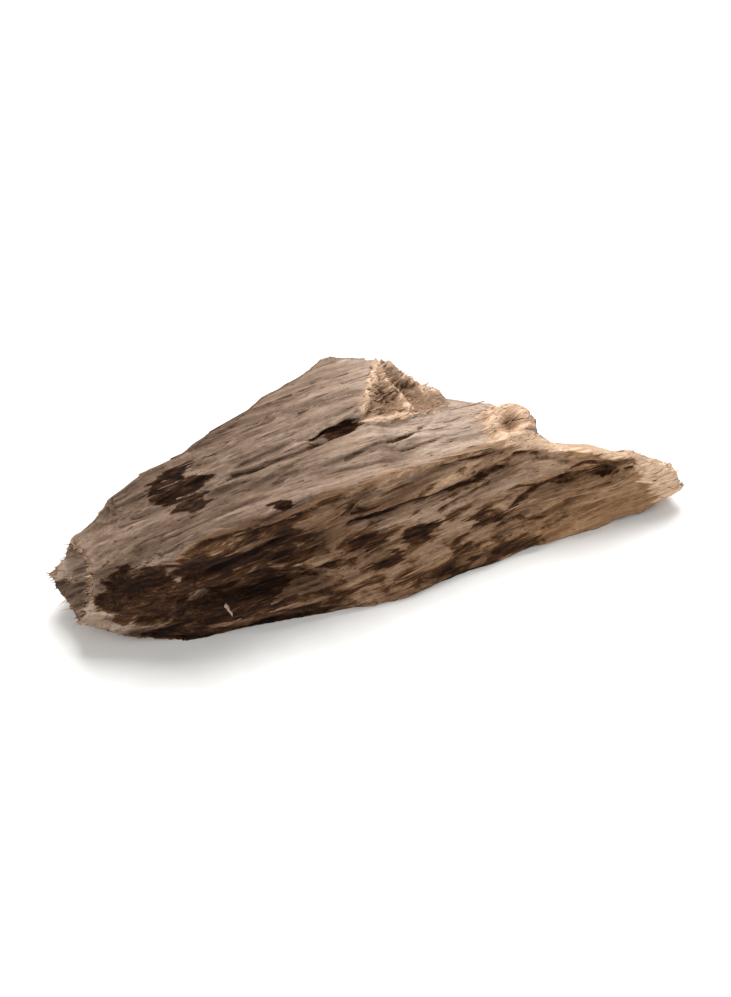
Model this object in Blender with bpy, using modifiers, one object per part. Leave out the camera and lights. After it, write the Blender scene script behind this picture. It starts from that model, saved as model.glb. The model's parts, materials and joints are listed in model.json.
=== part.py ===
"""A chip of agarwood, split by hand from a resin-streaked log.

It lies on its flat split underside. X runs along the grain, towards the thin tip, +Z is up,
and the origin is on the surface that the chip lies on, under the middle of its box.
The chip is one piece: two layers of the same wood, the upper one broken off short,
with the lower one running on to a torn knob and then to a thin tongue.
"""

import bmesh
import bpy
from mathutils import Vector, noise
from mathutils.geometry import intersect_point_line

MM = 0.001

# The chip's edges, each as points (x, y, z) in millimetres from the butt end to the tip.
# The lower layer is the whole length of the chip.
FRONT_FOOT = [(-27.0, -1.5, 2.6), (-23, -3.4, 0.9), (-17, -5.4, -0.5), (-7, -7.3, -0.5),
              (0, -8.1, -0.5), (12, -7.2, -0.5), (15, -7.0, -0.4), (20.5, -7.0, 0.0), (25.8, -7.0, 1.4)]
FRONT_BROW = [(-25.0, -1.2, 7.2), (-21, -3.0, 9.0), (-16, -4.1, 10.0), (-7, -4.2, 10.6),
              (0, -4.0, 10.5), (12, -3.8, 9.6), (14.6, -5.0, 8.7), (20, -6.4, 6.9), (25.0, -7.2, 3.7)]
STEP_FOOT = [(-25.3, 0.9, 7.6), (-21, 1.2, 9.2), (-13, 1.2, 10.6), (-5, 0.95, 11.3),
             (0, 1.6, 11.0), (12, -1.4, 9.4), (14.7, -4.0, 8.6), (20.2, -5.6, 6.8), (25.2, -6.7, 3.6)]
BACK_BROW = [(-25.6, 2.6, 7.4), (-21, 4.0, 9.0), (-16, 5.6, 9.8), (-7, 7.8, 10.0),
             (1, 8.2, 9.6), (12, 1.3, 8.8), (14.8, -3.0, 8.4), (20.3, -4.9, 6.5), (25.4, -6.2, 3.3)]
BACK_FOOT = [(-27.2, 3.4, 2.8), (-23, 5.8, 0.9), (-17, 7.6, -0.5), (-7, 9.6, -0.5),
             (2, 10.0, -0.5), (12, 5.2, -0.5), (15.5, 2.4, -0.4), (21, -2.0, 0.0), (25.6, -5.0, 1.6)]

# The upper layer ends in a slope that was torn across the grain.
LIP_ROOT = [(-23.0, 1.6, 7.4), (-13, 1.3, 9.0), (-8, 1.3, 9.4), (-3, 1.3, 9.5), (1.0, 1.6, 9.4),
            (7.5, 1.8, 8.8)]
LIP_EDGE = [(-21.5, 1.8, 9.2), (-13, 1.8, 11.0), (-8, 1.6, 11.8), (-4.4, 1.5, 12.4), (-1.2, 1.9, 12.7),
            (-0.1, 2.0, 12.7)]
REAR_EDGE = [(-21.5, 3.6, 9.7), (-14, 5.3, 11.2), (-6.3, 7.6, 12.6), (0.0, 8.7, 13.4), (3.1, 7.9, 13.3),
             (4.0, 7.2, 13.1)]
REAR_ROOT = [(-22.5, 4.8, 6.0), (-14, 7.4, 6.0), (-6, 9.2, 6.0), (-0.5, 9.4, 6.5), (4.5, 7.4, 7.4),
             (9.0, 2.6, 7.8)]

# The torn knob at the end of the lower layer's top, in millimetres.
KNOB_CENTRE = (12.8, -1.3, 8.2)
KNOB_RADII = (2.3, 1.9, 1.9)

# The wedge-shaped gap where the upper layer has lifted from the lower one.
GAP_SILL = [(-0.3, 0.2, 10.6), (-6.5, 0.4, 11.4)]
GAP_HEAD = [(-0.3, 0.2, 12.5), (-6.5, 0.4, 12.0)]
GAP_HEAD_INSIDE = [(-0.3, 4.4, 12.1), (-6.5, 2.4, 11.9)]
GAP_SILL_INSIDE = [(-0.3, 4.4, 11.4), (-6.5, 2.4, 11.5)]

# Drying splits that run along the grain, in millimetres: start, end and width.
SPLITS = [((9.5, -6.0, 5.0), (22.5, -6.6, 5.4), 1.1),
          ((-5.0, -4.6, 8.4), (9.0, -4.0, 9.6), 0.9),
          ((-19.0, -4.4, 4.4), (-4.0, -6.6, 3.4), 1.0),
          ((-12.0, -4.4, 10.5), (-6.0, -3.4, 10.9), 0.8),
          ((-17.0, 7.2, 4.0), (-1.0, 9.4, 4.6), 1.2),
          ((-9.0, 8.6, 8.8), (6.0, 7.6, 8.4), 1.0)]
SPLIT_DEPTH_FOR_WIDTH = 1.5
SPLIT_TAPER = 0.25

# The relief of the split faces, in millimetres: how long, wide and high each kind of form is.
WAVE = {"length": 24.0, "width": 5.5, "height": 0.35}
RIDGE = {"length": 20.0, "width": 2.6, "height": 0.30}
LEDGE = {"length": 34.0, "width": 5.0, "height": 0.35}
LEDGES_FOR_NOISE = 2.2
LEDGE_RISER = 0.3

# The fibre bundles that stand out of the torn ends, in millimetres.
TEAR_DEPTH = 2.0
WIDE_BUNDLE = 2.6
NARROW_BUNDLE = 1.3
WIDE_SHARE = 0.6

# Where the skin turns from side to end and from side to underside, by its slope.
END_SLOPE = (0.75, 0.95)
UNDERSIDE_SLOPE = (0.2, 0.7)

# How fine the solid is.
REMESH_SIZE = 0.4
SMOOTH_PASSES = 2
MOST_FACES = 8200
CUT_TOLERANCE = 0.05

# Keeps the layers of noise apart.
NOISE_SHIFT = 31.7
BUNDLE_SHIFT = 7.0

WOOD = {"base_color": (0.235, 0.150, 0.093, 1.0), "roughness": 0.78}


def mm(point):
    """A point in millimetres as a Blender vector in metres."""
    return Vector(point) * MM


def add_object(name, bm):
    """Puts the bmesh in the scene as an object, and frees it."""
    mesh = bpy.data.meshes.new(name)
    bm.to_mesh(mesh)
    bm.free()
    obj = bpy.data.objects.new(name, mesh)
    bpy.context.scene.collection.objects.link(obj)
    return obj


def loft(name, rails):
    """A closed solid whose long edges are the rails, which go round the section in order."""
    bm = bmesh.new()
    rows = [[bm.verts.new(mm(point)) for point in rail] for rail in rails]
    for side, row in enumerate(rows):
        other = rows[(side + 1) % len(rows)]
        for step in range(len(row) - 1):
            bm.faces.new((row[step], row[step + 1], other[step + 1], other[step]))
    bm.faces.new([row[0] for row in rows])
    bm.faces.new([row[-1] for row in reversed(rows)])
    bmesh.ops.recalc_face_normals(bm, faces=bm.faces)
    return add_object(name, bm)


def knob():
    """The rounded stub at the end of the lower layer's top."""
    bm = bmesh.new()
    bmesh.ops.create_icosphere(bm, subdivisions=3, radius=1.0)
    bmesh.ops.scale(bm, vec=mm(KNOB_RADII), verts=bm.verts)
    bmesh.ops.translate(bm, vec=mm(KNOB_CENTRE), verts=bm.verts)
    return add_object("knob", bm)


def add_boolean(obj, other, operation):
    """Joins the other object to this one, or cuts it away."""
    modifier = obj.modifiers.new(other.name, "BOOLEAN")
    modifier.operation = operation
    modifier.object = other


def take_shape(obj):
    """Replaces the object's mesh by what its modifiers make of it."""
    graph = bpy.context.evaluated_depsgraph_get()
    mesh = bpy.data.meshes.new_from_object(obj.evaluated_get(graph))
    obj.modifiers.clear()
    obj.data = mesh


def smooth_step(low, high, value):
    """0 below low, 1 above high, and a soft curve between."""
    t = min(1.0, max(0.0, (value - low) / (high - low)))
    return t * t * (3 - 2 * t)


def along_grain(point, form, layer):
    """Noise from -1 to 1 that is drawn out along the grain. The point is in millimetres."""
    shift = NOISE_SHIFT * layer
    return noise.noise(Vector((point.x / form["length"] + shift, point.y / form["width"] - shift,
                               point.z / form["width"] + shift)))


def bundle(point, width):
    """A value from 0 to 1 for the bundle of fibres that the point is in."""
    centre = noise.voronoi(Vector((0.0, point.y / width, point.z / width)))[1][0]
    return noise.cell(centre * BUNDLE_SHIFT)


def split_relief(point):
    """Height of the split faces at a point, in millimetres: waves, ridges and ledges along the grain."""
    wave = along_grain(point, WAVE, 1)
    ridge = 0.5 - 2.0 * abs(along_grain(point, RIDGE, 2))
    level = LEDGES_FOR_NOISE * along_grain(point, LEDGE, 3)
    floor = level // 1.0
    ledge = floor + smooth_step(1.0 - LEDGE_RISER, 1.0, level - floor)
    return WAVE["height"] * wave + RIDGE["height"] * ridge + LEDGE["height"] * ledge


def split_depth(point):
    """How deep the drying splits are at a point, in millimetres."""
    depth = 0.0
    for start, end, width in SPLITS:
        near, share = intersect_point_line(point, Vector(start), Vector(end))
        if 0.0 < share < 1.0:
            taper = smooth_step(0.0, SPLIT_TAPER, share) * smooth_step(0.0, SPLIT_TAPER, 1.0 - share)
            sides = 1.0 - min(1.0, (point - near).length / width)
            depth = max(depth, SPLIT_DEPTH_FOR_WIDTH * width * taper * sides)
    return depth


def tear(point):
    """How far the torn fibre bundles stand out of an end at a point, in millimetres."""
    wide, narrow = bundle(point, WIDE_BUNDLE), bundle(point, NARROW_BUNDLE)
    return TEAR_DEPTH * (WIDE_SHARE * wide + (1.0 - WIDE_SHARE) * narrow - 0.5)


def weather(mesh):
    """Moves the skin: relief across the grain on the split faces, torn bundles on the ends."""
    moved = []
    for vertex in mesh.vertices:
        point = vertex.co / MM
        normal = vertex.normal
        across = Vector((0.0, normal.y, normal.z))
        way = Vector((1.0 if normal.x > 0 else -1.0, 0.0, 0.0))
        end_share = smooth_step(*END_SLOPE, abs(normal.x))
        side_share = (1.0 - end_share) * (1.0 - smooth_step(*UNDERSIDE_SLOPE, -normal.z))
        side = across * side_share * (split_relief(point) - split_depth(point))
        moved.append((point + side + way * end_share * tear(point)) * MM)
    for vertex, place in zip(mesh.vertices, moved):
        vertex.co = place
    mesh.update()


def cut_flat(obj):
    """Cuts the underside off level at the surface that the chip lies on, and lists the faces from there up."""
    bm = bmesh.new()
    bm.from_mesh(obj.data)
    for vertex in bm.verts:
        if abs(vertex.co.z) < CUT_TOLERANCE * MM:
            vertex.co.z = 0.0
    bmesh.ops.bisect_plane(bm, geom=bm.verts[:] + bm.edges[:] + bm.faces[:], dist=CUT_TOLERANCE * MM,
                           plane_co=(0, 0, 0), plane_no=(0, 0, 1), clear_inner=True)
    bmesh.ops.holes_fill(bm, edges=[edge for edge in bm.edges if edge.is_boundary])
    bmesh.ops.recalc_face_normals(bm, faces=bm.faces)
    bm.faces.sort(key=lambda face: face.calc_center_median().z)
    bm.to_mesh(obj.data)
    bm.free()


def centre(mesh):
    """Puts the origin under the middle of the chip's box. The height stays as it is."""
    for axis in (0, 1):
        places = [vertex.co[axis] for vertex in mesh.vertices]
        middle = (min(places) + max(places)) / 2
        for vertex in mesh.vertices:
            vertex.co[axis] -= middle


def wood_material():
    """Plain agarwood, the mean of its pale wood and its dark resin."""
    material = bpy.data.materials.new("agarwood")
    material.use_nodes = True
    shader = material.node_tree.nodes["Principled BSDF"]
    shader.inputs["Base Color"].default_value = WOOD["base_color"]
    shader.inputs["Roughness"].default_value = WOOD["roughness"]
    return material


def make_chip():
    """The chip as one solid."""
    chip = loft("agarwood_chip", [FRONT_FOOT, FRONT_BROW, STEP_FOOT, BACK_BROW, BACK_FOOT])
    helpers = [loft("upper_layer", [LIP_ROOT, LIP_EDGE, REAR_EDGE, REAR_ROOT]), knob(),
               loft("gap", [GAP_SILL, GAP_HEAD, GAP_HEAD_INSIDE, GAP_SILL_INSIDE])]
    for helper, operation in zip(helpers, ("UNION", "UNION", "DIFFERENCE")):
        add_boolean(chip, helper, operation)
    remesh = chip.modifiers.new("Remesh", "REMESH")
    remesh.mode = "VOXEL"
    remesh.voxel_size = REMESH_SIZE * MM
    smooth = chip.modifiers.new("Smooth", "SMOOTH")
    smooth.iterations = SMOOTH_PASSES
    take_shape(chip)
    for helper in helpers:
        bpy.data.objects.remove(helper)
    weather(chip.data)
    decimate = chip.modifiers.new("Decimate", "DECIMATE")
    decimate.ratio = MOST_FACES / (2 * len(chip.data.polygons))
    take_shape(chip)
    cut_flat(chip)
    centre(chip.data)
    chip.data.materials.append(wood_material())
    return chip


def main():
    for obj in list(bpy.data.objects):
        bpy.data.objects.remove(obj)
    chip = make_chip()
    collection = bpy.data.collections.new("agarwood chip")
    bpy.context.scene.collection.children.link(collection)
    bpy.context.scene.collection.objects.unlink(chip)
    collection.objects.link(chip)


main()
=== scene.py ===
"""Dresses a chip of agarwood: its split and weathered skin, its torn ends, its fibres and splinters.

X runs along the grain towards the thin tip, Z is up, and the tall front face looks along -Y.
Lengths are in millimetres where a name or a comment says nothing else.
"""

import json
import math
import random

import bmesh
import bpy
import numpy as np
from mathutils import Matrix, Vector, kdtree, noise

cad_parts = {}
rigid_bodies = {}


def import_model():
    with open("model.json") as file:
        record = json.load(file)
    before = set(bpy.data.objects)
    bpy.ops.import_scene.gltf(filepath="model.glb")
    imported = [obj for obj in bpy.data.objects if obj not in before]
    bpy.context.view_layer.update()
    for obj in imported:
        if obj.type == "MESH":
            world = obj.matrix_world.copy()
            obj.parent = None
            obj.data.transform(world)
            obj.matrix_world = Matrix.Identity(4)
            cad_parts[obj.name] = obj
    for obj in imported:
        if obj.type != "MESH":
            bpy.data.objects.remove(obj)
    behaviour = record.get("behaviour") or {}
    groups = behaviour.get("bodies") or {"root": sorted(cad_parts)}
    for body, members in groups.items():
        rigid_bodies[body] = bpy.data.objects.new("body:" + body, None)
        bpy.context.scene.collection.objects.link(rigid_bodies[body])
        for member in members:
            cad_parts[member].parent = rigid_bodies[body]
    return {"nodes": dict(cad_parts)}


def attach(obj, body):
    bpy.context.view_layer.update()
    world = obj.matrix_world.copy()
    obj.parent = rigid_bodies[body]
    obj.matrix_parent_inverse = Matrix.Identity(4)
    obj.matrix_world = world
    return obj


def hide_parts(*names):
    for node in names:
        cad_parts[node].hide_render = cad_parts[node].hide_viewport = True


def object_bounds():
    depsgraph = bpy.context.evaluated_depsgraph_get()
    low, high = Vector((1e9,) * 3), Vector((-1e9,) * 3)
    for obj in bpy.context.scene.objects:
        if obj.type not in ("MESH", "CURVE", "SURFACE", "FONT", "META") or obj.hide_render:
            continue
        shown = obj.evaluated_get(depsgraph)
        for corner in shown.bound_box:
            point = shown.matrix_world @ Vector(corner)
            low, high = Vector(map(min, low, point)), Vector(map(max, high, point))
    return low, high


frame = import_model()
CAD_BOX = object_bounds()

MM = 0.001
random.seed(7)

# The view: from the front left, looking down at 45 degrees.
VIEW_AZIMUTH = -24.7
VIEW_ELEVATION = 45.0
VIEW_DISTANCE = 500.0
VIEW_MIDDLE = (0.4, -1.0, 4.5)
VIEW_HEIGHT = 82.0
SENSOR = 36.0
CLIP_START = 10.0

# Where each lamp stands, seen from the chip, and how wide it is.
LAMPS = {
    "key": {"azimuth": 150.0, "elevation": 60.0, "distance": 500.0, "size": 300.0, "watts": 3.2},
    "fill": {"azimuth": -50.0, "elevation": 40.0, "distance": 600.0, "size": 500.0, "watts": 1.6},
}
DAYLIGHT = 0.38

# The floor: half its side, and how far it lies below the chip, so that the two don't share a plane.
# Its speckles are about 3 mm wide each.
FLOOR_HALF = 1500.0
FLOOR_GAP = 0.02
SPECKLES_ACROSS = 900.0

# The skin's cells are longer along the grain than across it, as the wood's own are.
SKIN_CELL = 0.116
GRAIN_STRETCH = 3.0
WELD_DISTANCE = 0.001

# How many times the mesh is smoothed for the skin, for its broad normals and for the torn forms, and how
# far each time.
SKIN_SMOOTHING = 3
BROAD_SMOOTHING = 40
ROUNDING = 12
SMOOTHING_STEP = 0.5

# How far the skin, its fibres and its splinters may reach beyond the solid's box.
REACH = (0.9, 0.3, 0.3)

# Forms of the split faces: how long and wide they are, how high they stand, and their layer of noise.
# The weathered top is calmer than the other faces by this share.
FLUTES = {"length": 15.0, "width": 1.5, "height": 0.10, "layer": 1}
FIBRE_BUNDLES = {"length": 9.0, "width": 0.6, "height": 0.06, "layer": 2}
FIBRES = {"length": 5.0, "width": 0.27, "height": 0.035, "layer": 3}
LUMPS = {"length": 3.4, "width": 1.2, "height": 0.13, "layer": 6}
TOP_CALM = 0.55

# Plates of wood lie in steps. The noise is cut into levels, and a step rises over the last part of its level.
PLATES = {"length": 14.0, "width": 2.2, "height": 0.13, "levels": 3.0, "layer": 4}
PLATE_ENDS = {"length": 2.2, "width": 0.6, "levels": 0.5, "layer": 5}
PLATE_STEP = (0.82, 1.0)

# Drying checks: fine cracks along the grain, in some areas alone.
CHECKS = {"length": 26.0, "width": 3.2, "height": 0.30, "crack": 0.03, "layer": 7}
CHECKED_AREAS = {"length": 14.0, "width": 6.0, "share": (0.1, 0.35), "layer": 8}

# The noise reaches about 0.6. The gain brings it to about 1, and the layers of it lie this far apart.
NOISE_GAIN = 1.6
RIDGE_STEEPNESS = 4.0
LAYER_GAP = 17.3
LUMP_FALL_OFF = 0.9
LUMP_FINENESS = 2.1

# Bundles of fibres that stand out of a torn end, in two sizes.
TORN_BUNDLES = {"length": 50.0, "widths": (0.8, 0.4), "heights": (0.22, 0.14)}
BUNDLE_SHUFFLE = 9.0

# What makes the edges of marks ragged: the axis and the shift, and how long and wide each tongue is.
RAGGED = [
    {"axis": 0, "shift": 1.6, "length": 3.5, "width": 0.40, "layer": 11},
    {"axis": 0, "shift": 0.9, "length": 1.6, "width": 0.16, "layer": 15},
    {"axis": 1, "shift": 0.45, "length": 3.5, "width": 0.9, "layer": 12},
    {"axis": 2, "shift": 0.45, "length": 3.5, "width": 0.9, "layer": 13},
]

# How much of that shift the borders and the lines take.
BORDER_SHIFT = {"front": 0.3, "pale": 0.6, "knob": 0.22, "knob foot": 0.5, "tip": 0.7, "butt": 0.5}
LINE_SHIFT = {"furrows": 0.5, "ridge": 0.6, "crests": 0.4}

# The grain of the front face climbs towards the tip, in millimetres for each millimetre.
FRONT_GRAIN_CLIMB = 0.11

# The grain of the rear face follows its two slants: how far it lies back at each place.
REAR_GRAIN_X = (-26.0, 0.0, 26.0)
REAR_GRAIN_Y = (2.1, 7.8, -7.8)

# How distance counts along X, Y and Z for a mark: one on the front reaches deep along Y, one on the top
# along Z, one at the front's butt end a little along Y, and one in the gap the same way all round.
FRONT = (1.0, 0.25, 1.0)
TOP = (1.0, 1.0, 0.25)
FRONT_END = (1.0, 0.5, 1.0)
ALL_ROUND = (1.0, 1.0, 1.0)

# A path is whole over the middle quarter of its width. A mark fades out between these shares of its size.
PATH_CORE = 0.25
MARK_FADE = (1.55, 0.35)

# The edge between the pale top and the front face.
PALE_EDGE_X = (-26.0, -18.5, -12.7, -8.0, -2.3, 3.3, 7.0, 10.8, 13.6, 16.3, 21.3, 26.0)
PALE_EDGE_Y = (-4.0, -4.9, -4.7, -4.4, -4.4, -4.2, -3.7, -3.5, -4.4, -4.6, -6.0, -7.0)

# Furrows: the face, the path, the width, the depth and how dark they are, as stain and as painted shade in
# the crease.
FURROWS = [
    (TOP, [(-11.0, -0.1, 10.9), (-6.2, -0.3, 11.3), (-3.0, 0.0, 11.2), (-0.1, 0.5, 11.1)], 0.30, 0.22, 0.55),
    (TOP, [(-9.5, 0.5, 11.6), (-5.5, 0.8, 12.1)], 0.28, 0.15, 0.45),
    (TOP, [(-2.0, -2.1, 10.6), (0.9, -1.7, 10.7), (3.9, -1.3, 10.5), (6.2, -0.6, 10.2)], 0.24, 0.16, 0.45),
    (TOP, [(-16.0, -2.9, 10.2), (-10.0, -2.6, 10.4)], 0.25, 0.12, 0.30),
    (TOP, [(-5.0, -2.5, 10.5), (1.5, -3.0, 10.3)], 0.22, 0.10, 0.25),
    (TOP, [(3.0, -2.4, 9.9), (9.5, -2.2, 9.4)], 0.22, 0.10, 0.30),
    (TOP, [(-19.0, 3.4, 10.2), (-9.0, 4.4, 12.0)], 0.25, 0.12, 0.30),
    (FRONT, [(1.5, -4.6, 9.5), (4.0, -4.5, 9.4), (7.2, -4.4, 9.1), (10.6, -4.0, 8.8)], 0.30, 0.22, 0.90),
    (FRONT, [(-2.6, -5.5, 7.1), (0.5, -5.7, 7.3), (3.9, -5.7, 7.5), (7.3, -5.7, 7.3), (10.5, -5.5, 7.6)],
     0.42, 0.28, 0.85),
    (FRONT, [(12.5, -4.8, 8.1), (14.5, -5.2, 7.6), (16.6, -5.8, 7.0)], 0.36, 0.20, 0.62),
    (FRONT, [(11.6, -6.0, 4.3), (13.6, -5.9, 4.7), (16.1, -6.1, 5.2)], 0.36, 0.28, 0.75),
    (FRONT, [(15.9, -6.2, 6.4), (17.8, -6.6, 6.6), (19.6, -7.1, 6.3), (21.4, -7.2, 5.5)], 0.36, 0.18, 0.85),
    (FRONT, [(15.0, -5.7, 4.9), (16.7, -5.9, 5.0), (18.7, -6.2, 4.9), (20.4, -6.8, 4.8)], 0.42, 0.10, 0.85),
    (FRONT, [(15.8, -6.0, 4.7), (18.8, -7.0, 4.9), (21.8, -7.5, 5.0)], 0.22, 0.18, 0.75),
    (FRONT, [(14.2, -6.1, 3.9), (19.6, -7.5, 4.4)], 0.16, 0.10, 0.40),
    (FRONT, [(12.6, -6.4, 3.0), (20.6, -7.8, 3.6)], 0.18, 0.10, 0.35),
    (FRONT, [(6.5, -7.6, 2.2), (16.0, -7.6, 3.0)], 0.16, 0.08, 0.45),
    (FRONT, [(-17.5, -5.4, 6.6), (-8.5, -5.8, 7.7)], 0.30, 0.25, 0.80),
    (FRONT, [(-19.0, -5.2, 4.6), (-10.0, -6.0, 4.9)], 0.35, 0.25, 0.80),
]

# Blotches of resin, and the painted shadow in the gap under the lip: the face, the middle, the half length,
# the half height and the strength.
RESIN_AND_GAP_SHADOW = [
    (TOP, (-15.4, 2.4, 11.0), 1.9, 0.85, 0.95),
    (TOP, (-15.9, 1.1, 10.6), 2.1, 1.00, 0.95),
    (TOP, (-14.6, -0.6, 9.9), 1.4, 0.65, 0.95),
    (TOP, (-13.4, 0.9, 10.9), 0.9, 0.45, 0.85),
    (TOP, (-9.0, -4.1, 10.5), 1.1, 0.40, 0.95),
    # Painted shadow: the dark mouth of the gap under the lip.
    (ALL_ROUND, (-1.6, 0.7, 11.4), 2.4, 0.75, 0.95),
    (FRONT, (-4.0, -5.2, 8.7), 2.2, 0.60, 0.62),
    (FRONT, (2.6, -6.4, 4.5), 1.6, 0.62, 1.00),
    (FRONT, (4.2, -6.6, 4.9), 0.9, 0.35, 0.80),
    (FRONT, (7.6, -7.0, 4.2), 1.0, 0.50, 1.00),
    (FRONT, (9.2, -7.0, 3.7), 0.9, 0.60, 1.00),
    (FRONT, (0.0, -7.1, 3.3), 1.0, 0.65, 1.00),
    (FRONT, (-1.4, -6.8, 2.2), 1.3, 0.35, 0.85),
    (FRONT, (-4.6, -6.6, 3.9), 3.0, 0.80, 0.60),
    (FRONT, (-1.6, -6.3, 5.0), 1.7, 0.35, 0.85),
    (FRONT, (4.4, -8.3, 1.0), 0.8, 0.32, 1.00),
    (FRONT, (7.4, -8.1, 1.1), 1.3, 0.26, 0.85),
    (FRONT, (12.4, -6.0, 5.2), 1.2, 0.35, 0.60),
    (FRONT, (18.9, -6.8, 5.7), 2.4, 0.42, 0.66),
    (FRONT, (17.4, -6.2, 4.4), 2.4, 0.16, 0.52),
    (FRONT, (-7.5, -6.0, 6.2), 3.2, 1.10, 0.62),
    (FRONT, (-15.0, -5.5, 6.4), 5.0, 2.20, 0.90),
    (FRONT, (-13.5, -6.6, 2.6), 6.0, 1.90, 0.85),
    (FRONT_END, (-20.0, -4.5, 5.0), 4.5, 3.40, 0.85),
]

# Bits of plain wood in the dark left of the front face, in the same order.
PLAIN = [
    (FRONT, (-5.6, -5.6, 8.9), 1.8, 0.50, 1.00),
    (FRONT, (-8.3, -7.4, 1.7), 2.0, 0.32, 0.95),
    (FRONT, (-8.9, -6.8, 2.9), 0.9, 0.26, 0.80),
    (FRONT, (-11.0, -5.6, 8.2), 1.6, 0.30, 0.70),
    (FRONT, (-16.2, -4.9, 4.2), 0.8, 0.28, 0.80),
    (FRONT, (-6.6, -6.4, 5.1), 1.5, 0.26, 0.75),
    (FRONT, (-12.6, -5.9, 4.6), 1.3, 0.24, 0.65),
    (FRONT, (-17.9, -5.2, 6.6), 0.7, 0.30, 0.60),
    (FRONT, (-14.9, -6.2, 1.4), 1.1, 0.24, 0.70),
]

# Hollows of the torn end slope, where the wood shows olive-brown with painted shade on it, in the same order.
HOLLOWS = [
    (TOP, (3.6, 2.7, 11.9), 0.55, 0.95, 0.95),
    (TOP, (5.7, 4.0, 11.1), 0.60, 0.90, 0.85),
    (TOP, (3.6, 0.9, 11.5), 0.60, 0.30, 0.80),
    (TOP, (1.7, 1.0, 12.2), 0.40, 0.30, 0.60),
]
HOLLOW_DEPTH = 0.30

# The gap under the lip: the line of its mouth and its height, how far around it the lips move, and what
# share of the way they close.
GAP_MOUTH = [(-6.4, -0.5, 11.7), (-3.0, -0.7, 11.6), (0.9, -0.7, 11.5)]
GAP_HEIGHT = 11.6
GAP_WIDTH = 2.4
GAP_CLOSING = 0.68

# The cream ridges that the tear left on the end slope: the path, the width and the height.
SLOPE_RIDGES = [
    ([(0.9, 1.1, 12.4), (2.6, 3.3, 12.6), (4.4, 5.9, 12.6)], 0.80, 0.25),
    ([(4.4, 5.7, 12.4), (4.7, 3.4, 11.7), (5.4, 1.2, 10.9)], 0.55, 0.40),
    ([(5.7, 5.8, 11.8), (6.3, 5.2, 11.2), (7.2, 4.2, 10.4), (8.2, 3.0, 9.6)], 1.50, 0.95),
    ([(0.9, 0.6, 11.5), (3.0, 0.5, 11.3), (5.4, 0.5, 10.8), (8.4, 0.9, 9.9)], 0.60, 0.30),
]

# The end slope as it shows from above: the line of its upper edge, its front, its end towards the tip,
# and the height of its foot, which falls with X and Y.
SLOPE_EDGE = ((0.4, 0.7), (4.3, 6.4))
SLOPE_FRONT = 0.30
SLOPE_END = 8.9
SLOPE_FOOT = (11.5, -0.17, -0.38)
SLOPE_UNEVEN = 0.25

# Where the slope begins and is whole, measured from each of those borders.
SLOPE_SOFT = {"edge": (-0.10, 0.30), "front": (-0.3, 0.1), "end": (0.4, -0.6), "foot": (-0.15, 0.25)}

# How far the face may look to the rear and still be slope, how strongly a place has to be slope for its
# ridges to stand, and the share of its rounding.
SLOPE_REAR = (0.85, 0.55)
SLOPE_FORMS = (0.05, 0.4)
SLOPE_ROUNDING = 0.5

# The grey band across the middle of the front face, and the cream ridge from the knob to the tip, with
# the width of each.
GREY_BAND = [(-1.0, -5.7, 6.3), (4.0, -5.8, 6.3), (8.0, -5.8, 6.0), (12.0, -5.6, 6.5), (15.5, -5.9, 7.3)]
CREAM_RIDGE = [(12.9, -4.3, 8.9), (16.3, -5.0, 7.9), (19.1, -6.1, 7.2), (21.3, -7.0, 6.6), (23.4, -7.5, 5.4)]
GREY_WIDTH = 1.5
RIDGE_WIDTH = 0.90

# The torn knob, the raised rim on its top and the dimple inside the rim. On the top, height counts half.
KNOB = (12.5, -2.1, 8.5)
KNOB_RADIUS = 2.3
KNOB_FADE = (1.35, 0.75)
KNOB_FOOT = (7.4, 8.8)
KNOB_TOP = (12.75, -2.45, 9.7)
KNOB_FLATNESS = (1.0, 1.0, 0.5)
KNOB_RIM = {"radius": 1.45, "width": 0.38, "height": 0.50}
KNOB_DIMPLE = {"radius": 1.1, "core": 0.2, "depth": 0.65}

# Where the tip's torn wood begins, at this height, and how much farther out for each millimetre below it.
TIP_START = 21.9
TIP_HEIGHT = 5.5
TIP_LEAN = 0.43
TIP_FADE = (-1.8, 1.8)

# How far a face has to look along its axis: where it begins to count, and where it counts wholly.
FACING = {"front": (0.30, 0.62), "under": (0.30, 0.70), "rear": (0.35, 0.75), "top": (0.30, 0.60),
          "butt": (0.40, 0.90), "torn end": (0.40, 0.80), "on the floor": (0.75, 0.97),
          "rear grain": (0.10, 0.40)}

# Where the areas of the faces begin and are whole: along X, the low strip along Z too, and the pale top
# from its edge.
TIP_SIDE = (9.0, 17.0)
BUTT_SIDE = (-3.0, -10.0)
# The top's two halves, for its painted shade and painted light.
TOP_BUTT_HALF = (6.0, -8.0)
TOP_TIP_HALF = (0.0, 8.0)
LOW_STRIP_START = (-4.0, 3.0)
LOW_STRIP_HEIGHT = (3.0, 1.6)
PALE_FADE = (-0.35, 0.05)

# How weathered the front face is: its wood, and what each area adds. Then what other places lose.
FRONT_PALE = {"wood": 0.28, "grey": 0.28, "tip side": -0.20, "low strip": -0.20}
WEATHER_LOSS = {"rear": 0.20, "under": 0.65, "slope": 0.60}

# How much resin the front face holds, in the same way, and how much the others do.
FRONT_RESIN = {"wood": 0.36, "tip side": -0.26, "low strip": 0.10, "grey": -0.08, "butt side": 0.24}
TOP_RESIN = 0.05
HIDDEN_RESIN = {"wood": 0.22, "patches": 0.38}
# The furrows' darkness, stain and painted shade in the crease, goes into the resin at this share.
FURROW_STAIN_AND_SHADE = 0.80
# The hollows and the knob's dimple are darkened through the resin: their brown wood, and painted shade in the
# recess.
HOLLOW_OLIVE_AND_SHADE = 0.50
DIMPLE_BROWN_AND_SHADE = 0.46

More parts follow.
